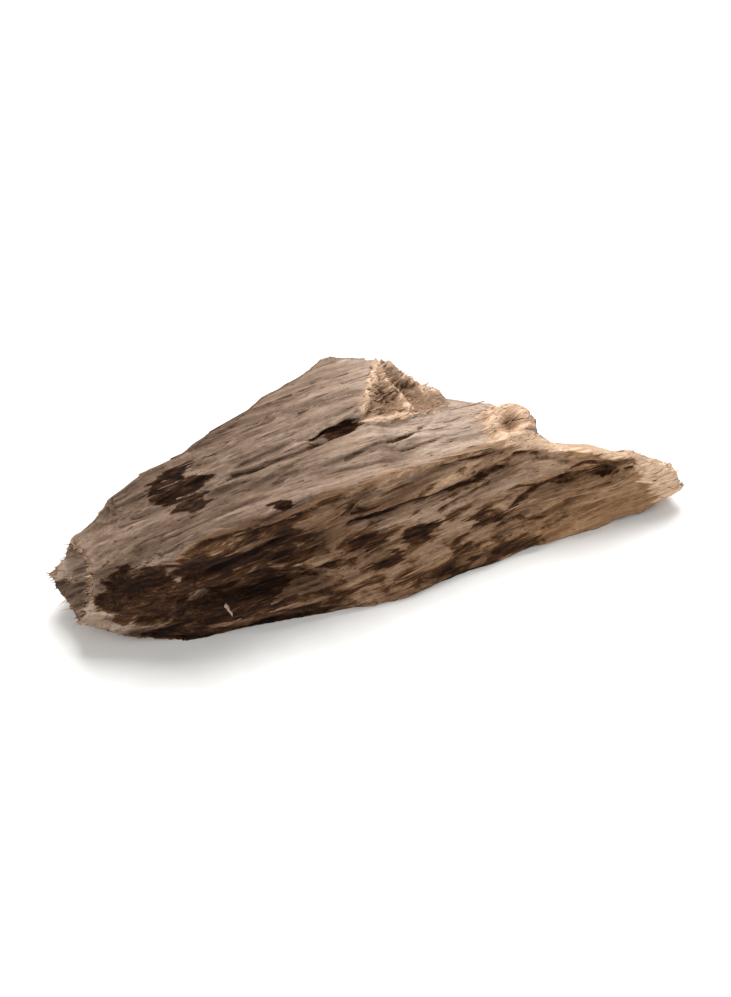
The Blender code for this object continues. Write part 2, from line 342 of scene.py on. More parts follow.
# Resin on the rear and the underside: broad patches, and streaks in them, with the strength of each.
RESIN_PATCHES = {"length": 12.0, "width": 2.6, "share": (0.0, 0.45), "strength": 0.75, "layer": 14}
RESIN_STREAKS = {"length": 14.0, "width": 0.8, "strength": 0.7, "layer": 16}

# How much cream the torn places show, and how much resin each one hides.
SLOPE_CREAM = {"wood": 0.06, "crests": 0.50}
BUTT_CREAM = 0.55
HOLLOW_LOSS = 0.75
RESIN_LOSS = {"slope": 0.85, "knob": 0.85, "tip": 0.595, "ridge": 0.595}

# Painted shade added to each place, and painted light where the value is below 0.
SHADE = {"butt half of the top": 0.15, "tip half of the top": -0.12, "knob": 0.10,
         "tip side of the front": -0.16, "low strip of the front": 0.08}

# How the skin's height shows as painted shade: the level of a plain face, the share of the torn forms, the
# contrast.
RELIEF_LEVEL = 0.5
FORMS_SHARE = 0.7
RELIEF_CONTRAST = 0.9

# The skin moves little along the grain. Torn places have less of the split faces' relief and bundles.
ALONG_GRAIN = 0.2
TORN_CALM = 0.7
FEW_BUNDLES = 0.8

# Vertices that lie this low stay this near the floor.
ON_FLOOR = 0.05
FLOOR_RELIEF = 0.12

# Torn fibres: how many stand in each place, and how long and wide they are.
FIBRE_PLACES = {
    "slope": {"count": 260, "length": (0.35, 1.1), "width": (0.05, 0.11)},
    "knob": {"count": 110, "length": (0.3, 0.8), "width": (0.05, 0.10)},
    "tip": {"count": 100, "length": (0.3, 0.9), "width": (0.05, 0.10)},
    "butt": {"count": 260, "length": (0.35, 1.2), "width": (0.05, 0.11)},
}

# How the fibres stand: above this height, where the zone is this strong and the skin looks this far out.
# They are rooted this deep, and they spread, rise, lean out of the wood and bend by these shares.
FIBRE_PLACE = {"height": 0.8, "zone": 0.45, "outward": -0.2}
FIBRE_STAND = {"root": 0.3, "spread": 0.16, "rise": 0.05, "lean": 0.45, "upward": 0.2, "bend": 0.12}
FIBRE_THICKNESS = 0.7

# How the fibres look: half of them hold no resin, and they vary in how cream they are and in their painted
# shade.
FIBRE_LOOK = {"weathered": 0.6, "resin": (0.0, 0.0, 0.1, 0.45), "torn": (0.5, 1.0), "relief": (0.35, 0.6)}

# Splinters lie on split faces inside these limits, with both ends near the skin. They lie nearly flat.
SPLINTERS = {"count": 220, "length": (1.6, 6.0), "width": (0.10, 0.24), "gap": 0.25, "depth": 0.03}
SPLINTER_PLACE = {"end": 19.0, "rear": 6.5, "height": 0.6, "torn": 0.3, "end face": 0.25, "under": -0.4}
SPLINTER_STAND = {"flat": 0.9, "spread": 0.02, "bend": (-0.05, 0.12)}
SPLINTER_THICKNESS = 0.45
SPLINTER_RESIN = (0.4, 1.0)

# The small pale curl of wood at the front.
CURL = {"root": (-14.4, -5.9, 3.0), "way": (0.55, -0.35, -0.75), "up": (0.7, -0.6, 0.3), "length": 2.1,
        "width": 0.62, "thickness": 0.14, "bend": -0.8, "rings": 9,
        "looks": {"weathered": 0.9, "resin": 0.0, "torn": 0.45, "relief": 0.6}}

# A sliver is widest before its middle and tapers to its tip, as a part of a sine curve does.
SLIVER_RINGS = 5
SLIVER_START = 0.35
SLIVER_END = 0.97
SLIVER_TIP = 0.06

# The slivers take another part of the wood's pattern than the skin below them.
PATTERN_APART = 50.0

# What each vertex keeps for the material, apart from its place in the grain. The relief is painted shade,
# darker in low places and paler on high ones.
ZONES = ("weathered", "resin", "torn", "relief")


def rise(low, high, value):
    """0 at low, 1 at high, and a soft curve between. Takes arrays."""
    share = np.clip((value - low) / (high - low), 0.0, 1.0)
    return share * share * (3.0 - 2.0 * share)


def grain_noise(points, form, octaves=1):
    """Noise from about -0.6 to 0.6 at each point, drawn out along the grain."""
    size = (form["length"], form["width"], form["width"])
    places = (points / size + LAYER_GAP * form["layer"]).tolist()
    if octaves == 1:
        return np.array([noise.noise(place) for place in places])
    return np.array([noise.fractal(place, LUMP_FALL_OFF, LUMP_FINENESS, octaves) for place in places])


def sharp_ridges(points, form):
    """Height of sharp ridges along the grain, with round hollows between them."""
    return form["height"] * (1 - RIDGE_STEEPNESS * np.abs(grain_noise(points, form)))


def near_path(points, path, width):
    """1 on the path and 0 beyond its width."""
    path = np.array(path)
    nearest = np.full(len(points), np.inf)
    for start, end in zip(path[:-1], path[1:]):
        along = end - start
        share = np.clip((points - start) @ along / (along @ along), 0.0, 1.0)
        nearest = np.minimum(nearest, np.linalg.norm(points - start - share[:, None] * along, axis=1))
    return rise(width, PATH_CORE * width, nearest)


def near_furrows(points, depth=False):
    """The depth, or the darkness, of the furrows at each point. The darkness is stain and painted shade."""
    total = np.zeros(len(points))
    for face, path, width, deep, dark in FURROWS:
        share = near_path(points * face, np.array(path) * face, width)
        total = np.maximum(total, share * (deep if depth else dark))
    return total


def near_ridges(points, height=False):
    """1 on the ridges of the end slope, or their height, and 0 away from them."""
    total = np.zeros(len(points))
    for path, width, high in SLOPE_RIDGES:
        share = near_path(points * TOP, np.array(path) * TOP, width)
        total = np.maximum(total, share * (high if height else 1.0))
    return total


def near_marks(points, marks):
    """How strong the marks are at each point."""
    total = np.zeros(len(points))
    for face, middle, half_length, half_height, strength in marks:
        offset = (points - middle) * face / (half_length, half_height, half_height)
        total = np.maximum(total, strength * rise(*MARK_FADE, np.linalg.norm(offset, axis=1)))
    return total


def from_knob_top(points):
    """How far each point is from the middle of the knob's top."""
    return np.linalg.norm((points - KNOB_TOP) * KNOB_FLATNESS, axis=1)


def sum_of(plan, areas):
    """The plan's value for the plain wood, with what each area adds to it."""
    return plan["wood"] + sum(value * areas[name] for name, value in plan.items() if name != "wood")


def link(obj):
    """Puts an object in the scene and returns it."""
    bpy.context.scene.collection.objects.link(obj)
    return obj


def evaluated(obj):
    """The object's mesh as its modifiers make it."""
    graph = bpy.context.evaluated_depsgraph_get()
    return bpy.data.meshes.new_from_object(obj.evaluated_get(graph))


def coordinates(mesh):
    """The mesh's vertices in millimetres, one row each."""
    flat = np.empty(len(mesh.vertices) * 3, np.float32)
    mesh.vertices.foreach_get("co", flat)
    return flat.reshape(-1, 3).astype(float) / MM


def place_vertices(mesh, points):
    """Moves the mesh's vertices to these points, in millimetres."""
    mesh.vertices.foreach_set("co", (points * MM).astype(np.float32).ravel())
    mesh.update()


def normals_of(mesh):
    """The mesh's vertex normals, one row each."""
    flat = np.empty(len(mesh.vertices) * 3, np.float32)
    mesh.vertices.foreach_get("normal", flat)
    return flat.reshape(-1, 3).astype(float)


def direction(azimuth, elevation):
    """A unit vector, by its angle from the front face round to the tip and its angle above the floor."""
    azimuth, elevation = math.radians(azimuth), math.radians(elevation)
    return Vector((math.sin(azimuth) * math.cos(elevation), -math.cos(azimuth) * math.cos(elevation),
                   math.sin(elevation)))


def make_camera():
    """A long lens from the photograph's angle, with the chip filling the picture."""
    back = direction(VIEW_AZIMUTH, VIEW_ELEVATION)
    camera = link(bpy.data.objects.new("camera", bpy.data.cameras.new("camera")))
    camera.location = (Vector(VIEW_MIDDLE) + back * VIEW_DISTANCE) * MM
    camera.rotation_mode = "QUATERNION"
    camera.rotation_quaternion = (-back).to_track_quat("-Z", "Y")
    camera.data.sensor_width = SENSOR
    camera.data.lens = SENSOR * VIEW_DISTANCE / VIEW_HEIGHT
    camera.data.clip_start = CLIP_START * MM
    bpy.context.scene.camera = camera


def make_lights():
    """A broad soft light above and behind, and a weaker one from the front."""
    for name, lamp in LAMPS.items():
        way = direction(lamp["azimuth"], lamp["elevation"])
        data = bpy.data.lights.new(name, "AREA")
        data.size = lamp["size"] * MM
        data.energy = lamp["watts"]
        obj = link(bpy.data.objects.new(name, data))
        obj.location = way * lamp["distance"] * MM
        obj.rotation_mode = "QUATERNION"
        obj.rotation_quaternion = (-way).to_track_quat("-Z", "Y")
    world = bpy.data.worlds.new("studio")
    world.use_nodes = True
    background = world.node_tree.nodes["Background"]
    background.inputs["Color"].default_value = linear("#FFFFFF")
    background.inputs["Strength"].default_value = DAYLIGHT
    bpy.context.scene.world = world
    bpy.context.scene.view_settings.view_transform = "Standard"


def linear(colour):
    """An sRGB hex colour as the linear colour that Blender's sockets take."""
    parts = [int(colour[i:i + 2], 16) / 255 for i in (1, 3, 5)]
    return tuple(part / 12.92 if part <= 0.04045 else ((part + 0.055) / 1.055) ** 2.4
                 for part in parts) + (1.0,)


def add(tree, kind, inputs=None, stops=None, **settings):
    """Adds a node. Its inputs are values or other nodes' outputs, and its stops are (place, hex colour)."""
    node = tree.nodes.new("ShaderNode" + kind)
    for name, value in settings.items():
        setattr(node, name, value)
    for socket, value in (inputs or {}).items():
        if isinstance(value, bpy.types.NodeSocket):
            tree.links.new(value, node.inputs[socket])
        else:
            node.inputs[socket].default_value = value
    if stops:
        ramp = node.color_ramp
        while len(ramp.elements) < len(stops):
            ramp.elements.new(1.0)
        for element, (place, colour) in zip(ramp.elements, stops):
            element.position = place
            element.color = linear(colour)
    return node


def new_material(name):
    """An empty material, its node tree and its Principled shader."""
    material = bpy.data.materials.new(name)
    material.use_nodes = True
    return material, material.node_tree, material.node_tree.nodes["Principled BSDF"]


def studio_floor():
    """Smooth pale board, painted matt, so that only a soft shadow shows on it."""
    material, tree, shader = new_material("matt painted board")
    speckle = add(tree, "TexNoise", {"Scale": SPECKLES_ACROSS, "Detail": 2.0})
    tint = add(tree, "ValToRGB", {0: speckle.outputs["Fac"]}, [(0.3, "#EFEEEB"), (0.7, "#F4F3F0")])
    tree.links.new(tint.outputs["Color"], shader.inputs["Base Color"])
    shader.inputs["Roughness"].default_value = 0.9
    mesh = bpy.data.meshes.new("floor")
    bm = bmesh.new()
    bmesh.ops.create_grid(bm, x_segments=1, y_segments=1, size=FLOOR_HALF * MM)
    bm.to_mesh(mesh)
    bm.free()
    mesh.materials.append(material)
    floor = link(bpy.data.objects.new("floor", mesh))
    floor.location.z = -FLOOR_GAP * MM


def split_agarwood():
    """Agarwood as it splits: pale weathered wood with dark resin in streaks, and cream where it was torn.

    The weathered wood is grey-beige and dead matt, the fresher wood is olive-tan with straight fibres, the
    resin is nearly black and a little waxy, and the torn fibres are the palest of all.
    """
    material, tree, shader = new_material("split agarwood")
    grain = add(tree, "Attribute", attribute_name="grain").outputs["Vector"]
    zones = {name: add(tree, "Attribute", attribute_name=name).outputs["Fac"]
             for name in ZONES}

    # Each pattern's cells in millimetres, along the grain and across it, then its detail, roughness and
    # distortion. Hairs are drawn at twice the width of the wood's real fibres, so that they show.
    patterns = {
        "broad": (12.0, 1.9, 3.0, 0.5, 0.0),
        "lines": (15.0, 0.34, 4.0, 0.65, 0.0),
        "hairs": (4.5, 0.09, 2.0, 0.5, 0.0),
        "mottle": (3.0, 0.9, 5.0, 0.62, 0.5),
        "flecks": (1.4, 0.30, 4.0, 0.6, 0.3),
        "pores": (1.6, 0.11, 1.0, 0.5, 0.0),
        "grains": (0.55, 0.24, 3.0, 0.7, 0.0),
    }
    look = {}
    for name, (length, width, detail, roughness, distortion) in patterns.items():
        cells = add(tree, "VectorMath", {0: grain, 1: (1 / length, 1 / width, 1 / width)},
                    operation="MULTIPLY")
        texture = add(tree, "TexNoise", {"Vector": cells.outputs[0], "Scale": 1.0, "Detail": detail,
                                         "Roughness": roughness, "Distortion": distortion})
        look[name] = texture.outputs["Fac"]

    # The grain: broad bands with finer lines and hairs in them. A Mix node's socket 0 is the share, 2 and 3
    # are its values, and 6 and 7 its colours.
    bands = add(tree, "Mix", {0: 0.5, 2: look["broad"], 3: look["lines"]}).outputs[0]
    streaks = add(tree, "Mix", {0: 0.25, 2: bands, 3: look["hairs"]}).outputs[0]
    streaks = add(tree, "Mix", {0: 0.25, 2: streaks, 3: look["grains"]}).outputs[0]
    threads = add(tree, "Mix", {0: 0.5, 2: look["lines"], 3: look["hairs"]}).outputs[0]
    grit = add(tree, "Mix", {0: 0.4, 2: look["flecks"], 3: look["hairs"]}).outputs[0]
    pale = add(tree, "ValToRGB", {0: streaks},
               [(0.34, "#725F51"), (0.43, "#927E6F"), (0.51, "#AC9786"), (0.59, "#BFAA98"),
                (0.68, "#D2BEAB")])
    tan = add(tree, "ValToRGB", {0: streaks},
              [(0.34, "#4F3722"), (0.43, "#7A5A3D"), (0.51, "#987556"), (0.60, "#B28F6A"),
               (0.68, "#C8A781")])
    cream = add(tree, "ValToRGB", {0: threads},
                [(0.32, "#8C6C52"), (0.42, "#B69478"), (0.50, "#D0B094"), (0.60, "#E8CBB0")])
    resin = add(tree, "ValToRGB", {0: grit},
                [(0.36, "#190E06"), (0.46, "#2E1B0E"), (0.55, "#472C19"), (0.66, "#6A4A30")])
    brown = add(tree, "ValToRGB", {0: threads}, [(0.36, "#3A2413"), (0.50, "#5D4129"), (0.64, "#7D5E42")])

    # Where the wood is rich in resin: brown at the edges of a streak, nearly black in its middle. The mottle
    # breaks up those edges, and the flecks do the same for the torn places. The same darkness paints the
    # shadow in the gap and the furrows, and the shade in the hollows and the dimple.
    richness = add(tree, "Math", {0: zones["resin"], 1: 0.62, 2: look["mottle"]}, operation="MULTIPLY_ADD")
    brown_share = add(tree, "MapRange", {"Value": richness.outputs[0], "From Min": 0.72, "From Max": 0.82},
                      interpolation_type="SMOOTHSTEP").outputs[0]
    resin_share = add(tree, "MapRange", {"Value": richness.outputs[0], "From Min": 0.82, "From Max": 0.92},
                      interpolation_type="SMOOTHSTEP").outputs[0]
    tearing = add(tree, "Math", {0: look["flecks"], 1: 0.5, 2: zones["torn"]}, operation="MULTIPLY_ADD")
    torn_share = add(tree, "MapRange", {"Value": tearing.outputs[0], "From Min": 0.55, "From Max": 0.85},
                     interpolation_type="SMOOTHSTEP").outputs[0]
    pore_share = add(tree, "MapRange", {"Value": look["pores"], "From Min": 0.67, "From Max": 0.76},
                     interpolation_type="SMOOTHSTEP").outputs[0]

    wood = add(tree, "Mix", {0: zones["weathered"], 6: tan.outputs[0], 7: pale.outputs[0]}, data_type="RGBA")
    wood = add(tree, "Mix", {0: torn_share, 6: wood.outputs[2], 7: cream.outputs[0]}, data_type="RGBA")
    wood = add(tree, "Mix", {0: brown_share, 6: wood.outputs[2], 7: brown.outputs[0]}, data_type="RGBA")
    wood = add(tree, "Mix", {0: resin_share, 6: wood.outputs[2], 7: resin.outputs[0]}, data_type="RGBA")
    wood = add(tree, "Mix", {0: pore_share, 6: wood.outputs[2], 7: linear("#5A4534")}, data_type="RGBA")

    # Painted shade darkens the low places of the relief, and the high ones are made paler, as painted light
    # and as rubbed wear. Each place's painted shade is in the relief too.
    depth = add(tree, "ValToRGB", {0: zones["relief"]},
                [(0.0, "#4E3E34"), (0.3, "#A79C94"), (0.5, "#E2DCD7"), (0.62, "#FFFFFF")])
    wood = add(tree, "Mix", {0: 1.0, 6: wood.outputs[2], 7: depth.outputs[0]}, data_type="RGBA",
               blend_type="MULTIPLY")
    tree.links.new(wood.outputs[2], shader.inputs["Base Color"])

    matt = add(tree, "Mix", {0: resin_share, 2: 0.9, 3: 0.75})
    tree.links.new(matt.outputs[0], shader.inputs["Roughness"])
    shader.inputs["Specular IOR Level"].default_value = 0.12

    surface = add(tree, "Math", {0: pore_share, 1: -0.35, 2: threads}, operation="MULTIPLY_ADD")
    surface = add(tree, "Math", {0: look["grains"], 1: 0.45, 2: surface.outputs[0]}, operation="MULTIPLY_ADD")
    bump = add(tree, "Bump", {"Strength": 0.85, "Distance": 0.11 * MM, "Height": surface.outputs[0]})
    tree.links.new(bump.outputs[0], shader.inputs["Normal"])
    return material


def fine_copy(node):
    """A finer copy of the solid's mesh, with cells that are drawn out along the grain."""
    mesh = node.data.copy()
    points = coordinates(mesh)
    points[:, 0] /= GRAIN_STRETCH
    place_vertices(mesh, points)
    bm = bmesh.new()
    bm.from_mesh(mesh)
    bmesh.ops.remove_doubles(bm, verts=bm.verts, dist=WELD_DISTANCE * MM)
    bm.to_mesh(mesh)
    bm.free()
    helper = link(bpy.data.objects.new("helper", mesh))
    remesh = helper.modifiers.new("Cells", "REMESH")
    remesh.mode = "VOXEL"
    remesh.voxel_size = SKIN_CELL * MM
    fine = evaluated(helper)
    bpy.data.objects.remove(helper)
    points = coordinates(fine)
    points[:, 0] *= GRAIN_STRETCH
    place_vertices(fine, points)
    return fine


def smoothed(mesh, times):
    """A smoother copy of the mesh."""
    helper = link(bpy.data.objects.new("helper", mesh.copy()))
    smooth = helper.modifiers.new("Smooth", "SMOOTH")
    smooth.factor = SMOOTHING_STEP
    smooth.iterations = times
    result = evaluated(helper)
    bpy.data.objects.remove(helper)
    return result


def ragged_points(points):
    """The points, shifted a little along and across the grain, so that marks get ragged edges."""
    shifted = points.copy()
    for form in RAGGED:
        shifted[:, form["axis"]] += form["shift"] * grain_noise(points, form)
    return shifted


def partly(ragged, points, share):
    """The points, moved this share of the way to their ragged places."""
    return points + share * (ragged - points)


def grain_places(points, front, broad):
    """Where each point is in the grain, which climbs on the front face and follows the rear one."""
    places = points.copy()
    places[:, 2] -= FRONT_GRAIN_CLIMB * points[:, 0] * front
    lying_back = np.interp(points[:, 0], REAR_GRAIN_X, REAR_GRAIN_Y)
    places[:, 1] -= lying_back * rise(*FACING["rear grain"], broad[:, 1])
    return places


def end_slope(points, ragged, broad):
    """1 on the torn slope that ends the upper layer."""
    x, y, z = points.T
    (x0, y0), (x1, y1) = SLOPE_EDGE
    uneven = SLOPE_UNEVEN * (ragged - points)[:, 0]
    from_border = {
        "edge": ((y1 - y0) * (x - x0) - (x1 - x0) * (y - y0)) / math.hypot(x1 - x0, y1 - y0),
        "front": y - SLOPE_FRONT,
        "end": x - SLOPE_END,
        "foot": z - SLOPE_FOOT[0] - SLOPE_FOOT[1] * x - SLOPE_FOOT[2] * y,
    }
    share = rise(*SLOPE_REAR, broad[:, 1])
    for name, distance in from_border.items():
        share = share * rise(*SLOPE_SOFT[name], distance + uneven)
    return share


def areas_of(points, ragged, broad):
    """1 in each area of the split faces and 0 outside it. broad holds the smoothed normals."""
    x, y, z = points.T
    wobble = (ragged - points)[:, 1]
    return {
        "front": rise(*FACING["front"], BORDER_SHIFT["front"] * wobble - broad[:, 1]),
        "under": rise(*FACING["under"], -broad[:, 2]),
        "rear": rise(*FACING["rear"], broad[:, 1]),
        "top": rise(*FACING["top"], broad[:, 2]),
        "pale": rise(*PALE_FADE, y - np.interp(x, PALE_EDGE_X, PALE_EDGE_Y) + BORDER_SHIFT["pale"] * wobble),
        "grey": near_path(ragged * FRONT, np.array(GREY_BAND) * FRONT, GREY_WIDTH),
        "tip side": rise(*TIP_SIDE, x),
        "butt side": rise(*BUTT_SIDE, x),
        "low strip": rise(*LOW_STRIP_HEIGHT, z) * rise(*LOW_STRIP_START, x),
    }


def torn_places(points, ragged, broad):
    """1 in each place where the wood was torn, and 0 elsewhere."""
    x, y, z = points.T
    threads, wobble = (ragged - points)[:, 0], (ragged - points)[:, 1]
    from_knob = np.linalg.norm(points - KNOB, axis=1) / KNOB_RADIUS + BORDER_SHIFT["knob"] * threads
    past_tip_start = x - TIP_START - TIP_LEAN * (TIP_HEIGHT - z) + BORDER_SHIFT["tip"] * threads
    return {
        "slope": end_slope(points, ragged, broad),
        "knob": rise(*KNOB_FADE, from_knob) * rise(*KNOB_FOOT, z + BORDER_SHIFT["knob foot"] * wobble),
        "ridge": near_path(partly(ragged, points, LINE_SHIFT["ridge"]), CREAM_RIDGE, RIDGE_WIDTH),
        "tip": rise(*TIP_FADE, past_tip_start),
        "butt": BUTT_CREAM * rise(*FACING["butt"], BORDER_SHIFT["butt"] * wobble - broad[:, 0]),
    }


def resin_of(points, ragged, areas, broad):
    """How rich in resin the split faces are at each point, with the painted shadow of the gap and the stain
    and painted shade of the furrows.
    """
    places = grain_places(points, areas["front"], broad)
    patches = RESIN_PATCHES["strength"] * rise(*RESIN_PATCHES["share"], grain_noise(places, RESIN_PATCHES))
    patches += RESIN_STREAKS["strength"] * grain_noise(places, RESIN_STREAKS)
    resin = TOP_RESIN * areas["top"]
    resin += sum_of(FRONT_RESIN, areas) * areas["front"] * (1 - areas["pale"])
    resin += sum_of(HIDDEN_RESIN, {"patches": patches}) * (areas["under"] + areas["rear"])
    resin = np.maximum(resin, near_marks(ragged, RESIN_AND_GAP_SHADOW)) * (1 - near_marks(ragged, PLAIN))
    return np.maximum(resin, FURROW_STAIN_AND_SHADE * near_furrows(partly(ragged, points, LINE_SHIFT["furrows"])))


def shade_of(points, areas, places):
    """The painted shade at each point: how much darker it is than its height makes it, and painted light,
    paler, where it is below 0.
    """
    split_top = areas["top"] * (1 - places["slope"])
    shares = {
        "butt half of the top": split_top * rise(*TOP_BUTT_HALF, points[:, 0]),
        "tip half of the top": split_top * rise(*TOP_TIP_HALF, points[:, 0]),
        "knob": places["knob"],
        "tip side of the front": areas["front"] * areas["tip side"],
        "low strip of the front": areas["front"] * areas["low strip"] * (1 - areas["tip side"]),
    }
    return sum(SHADE[name] * share for name, share in shares.items())


def zones_of(points, broad):
    """How weathered, resinous and torn the wood is at each point, its painted shade, and the places that it
    belongs to.
    """
    ragged = ragged_points(points)
    areas = areas_of(points, ragged, broad)
    places = torn_places(points, ragged, broad)
    slope = places["slope"]
    hollows = near_marks(ragged, HOLLOWS)

    weathered = np.maximum(sum_of(FRONT_PALE, areas), areas["pale"])
    for name, place in (("rear", areas["rear"]), ("under", areas["under"]), ("slope", slope)):
        weathered = weathered * (1 - WEATHER_LOSS[name] * place)

    crests = near_ridges(partly(ragged, points, LINE_SHIFT["crests"]))
    cream = slope * sum_of(SLOPE_CREAM, {"crests": crests})
    torn = np.maximum.reduce([cream] + [places[name] for name in ("knob", "ridge", "tip", "butt")])
    torn = torn * (1 - HOLLOW_LOSS * hollows)

    hidden = np.maximum.reduce([loss * places[name] for name, loss in RESIN_LOSS.items()])
    # The hollows and the dimple take painted shade with their brown.
    dimple = rise(KNOB_DIMPLE["radius"], KNOB_DIMPLE["core"], from_knob_top(points))
    resin = np.maximum.reduce([resin_of(points, ragged, areas, broad) * (1 - hidden),
                               HOLLOW_OLIVE_AND_SHADE * hollows * slope, DIMPLE_BROWN_AND_SHADE * dimple])
    return {"weathered": weathered, "resin": resin, "torn": torn, "hollows": hollows,
            "front": areas["front"], "top": areas["top"], "shade": shade_of(points, areas, places)} | places


def skin_relief(points, zones):
    """Height of the skin's relief at each point. The top is calmer than the other faces."""
    calm = 1 - TOP_CALM * zones["top"]
    height = sharp_ridges(points, FLUTES) * calm + sharp_ridges(points, FIBRE_BUNDLES)
    height += FIBRES["height"] * NOISE_GAIN * grain_noise(points, FIBRES)
    level = PLATES["levels"] * grain_noise(points, PLATES)
    level += PLATE_ENDS["levels"] * grain_noise(points, PLATE_ENDS)
    floor = np.floor(level)
    height += PLATES["height"] * calm * (floor + rise(*PLATE_STEP, level - floor))
    height += LUMPS["height"] * zones["front"] * NOISE_GAIN * grain_noise(points, LUMPS, octaves=3)
    cracks = rise(CHECKS["crack"], 0.0, np.abs(grain_noise(points, CHECKS)))
    checked = rise(*CHECKED_AREAS["share"], grain_noise(points, CHECKED_AREAS))
    return height - CHECKS["height"] * calm * checked * cracks


def torn_relief(points):
    """How far the torn fibre bundles stand out of an end at each point."""
    total = np.zeros(len(points))
    length = TORN_BUNDLES["length"]
    for width, height in zip(TORN_BUNDLES["widths"], TORN_BUNDLES["heights"]):
        cells = [noise.voronoi((x / length, y / width, z / width))[1][0] for x, y, z in points.tolist()]
        total += height * 2 * (np.array([noise.cell(cell * BUNDLE_SHUFFLE) for cell in cells]) - 0.5)
    return total


def in_reach(points):
    """Keeps the points near the solid's box, and on the floor or above it."""
    low, high = (np.array(corner) / MM for corner in CAD_BOX)
    low = low - REACH
    low[2] = 0.0
    return np.clip(points, low, high + REACH)


def store(mesh, name, values):
    """Keeps a value, or a vector, at each vertex for the material."""
    vector = values.ndim == 2
    attribute = mesh.attributes.new(name, "FLOAT_VECTOR" if vector else "FLOAT", "POINT")
    attribute.data.foreach_set("vector" if vector else "value", values.astype(np.float32).ravel())


def torn_forms(points, zones):
    """Height of the ridges and hollows of the end slope, and of the knob's rim and dimple."""
    ridges = near_ridges(points, height=True) * rise(*SLOPE_FORMS, zones["slope"])
    from_top = from_knob_top(points)
    rim = np.exp(-((from_top - KNOB_RIM["radius"]) / KNOB_RIM["width"]) ** 2) * zones["knob"]
    dimple = rise(KNOB_DIMPLE["radius"], 0.0, from_top)
    return (ridges - HOLLOW_DEPTH * zones["hollows"]
            + KNOB_RIM["height"] * rim - KNOB_DIMPLE["depth"] * dimple)


def make_skin(node, material):
    """The chip's split and weathered skin, in place of the plain solid. Also returns its points and zones."""
    base = smoothed(fine_copy(node), SKIN_SMOOTHING)
    points = coordinates(base)
    broad = normals_of(smoothed(base, BROAD_SMOOTHING))
    zones = zones_of(points, broad)

    # The torn forms are rounder than the solid's, and the lips of the gap lie closer together.
    rounded = coordinates(smoothed(base, ROUNDING))
    share = np.maximum.reduce([SLOPE_ROUNDING * zones["slope"], zones["knob"], zones["ridge"]])
    points = points + (rounded - points) * share[:, None]
    closing = GAP_CLOSING * near_path(points, GAP_MOUTH, GAP_WIDTH)
    points[:, 2] += closing * (GAP_HEIGHT - points[:, 2])
    place_vertices(base, points)
    normals = normals_of(base)

    # The relief of the split faces, which is flat where the chip lies on the floor.
    grain = grain_places(points, zones["front"], broad)
    torn_end = rise(*FACING["torn end"], np.abs(normals[:, 0]))
    off_floor = 1 - rise(*FACING["on the floor"], -normals[:, 2])
    calm = 1 - TORN_CALM * np.maximum.reduce([torn_end, zones["knob"], zones["slope"], zones["ridge"]])
    furrows = near_furrows(partly(ragged_points(points), points, LINE_SHIFT["furrows"]), depth=True)
    height = skin_relief(grain, zones) * calm - furrows
    forms = torn_forms(points, zones)
    move = normals * (ALONG_GRAIN, 1.0, 1.0) * (height * off_floor)[:, None] + normals * forms[:, None]

    # The torn bundles stand out along the grain.
    bundles = torn_end * off_floor * (1 - FEW_BUNDLES * np.maximum(zones["knob"], zones["slope"]))
    move[:, 0] += np.sign(normals[:, 0]) * torn_relief(points) * bundles
    moved = in_reach(points + move)
    on_floor = points[:, 2] < ON_FLOOR
    moved[on_floor, 2] = np.clip(moved[on_floor, 2], 0.0, FLOOR_RELIEF)

    place_vertices(base, moved)
    # Painted shade from the height and the torn forms, with each place's painted shade taken off.
    relief = RELIEF_LEVEL + (height + FORMS_SHARE * forms) * RELIEF_CONTRAST - zones["shade"]
    zones["relief"] = np.clip(relief, 0.0, 1.0)
    for name in ZONES:
        store(base, name, zones[name])
    store(base, "grain", grain)
    base.shade_smooth()
    base.materials.clear()
    base.materials.append(material)
    skin = link(bpy.data.objects.new("agarwood_chip_skin", base))
    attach(skin, "root")
    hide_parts("agarwood_chip")
    return moved, normals_of(base), zones


class Slivers:
    """Collects slivers of wood into one mesh. Each is a tapered strip with a bend."""

    def __init__(self):
        self.points, self.faces = [], []
        self.values = {name: [] for name in ZONES}

    def add(self, root, way, up, length, width, thickness, bend, looks, rings=SLIVER_RINGS):
        """Adds a sliver from the root along the way, bending towards up."""
        way, up = Vector(way).normalized(), Vector(up)
        side = way.cross(up).normalized()
        lift = side.cross(way).normalized()
        first = len(self.points)
        for ring in range(rings):
            share = ring / (rings - 1)
            middle = Vector(root) + way * length * share + lift * bend * share ** 2
            turn = min(SLIVER_END, SLIVER_START + (1 - SLIVER_START) * share)
            size = max(SLIVER_TIP, math.sin(math.pi * turn))
            for right, high in ((1, 0), (0, 1), (-1, 0), (0, -1)):
                place = middle + side * right * width * size / 2 + lift * high * thickness * size / 2
                self.points.append(tuple(place))
        for ring in range(rings - 1):
            for step in range(4):
                a, b = first + 4 * ring + step, first + 4 * ring + (step + 1) % 4
                self.faces.append((a, b, b + 4, a + 4))
        self.faces.append(tuple(first + step for step in (3, 2, 1, 0)))
        self.faces.append(tuple(first + 4 * (rings - 1) + step for step in range(4)))
        for name, value in looks.items():
            self.values[name] += [value] * (4 * rings)

    def finish(self, name, material):
        """Makes the mesh of all slivers and puts it on the chip."""
        points = in_reach(np.array(self.points))
        mesh = bpy.data.meshes.new(name)
        mesh.from_pydata((points * MM).tolist(), [], self.faces)
        for zone, values in self.values.items():
            store(mesh, zone, np.array(values))
        store(mesh, "grain", points + PATTERN_APART)
        mesh.shade_smooth()
        mesh.materials.append(material)
        obj = link(bpy.data.objects.new(name, mesh))
        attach(obj, "root")


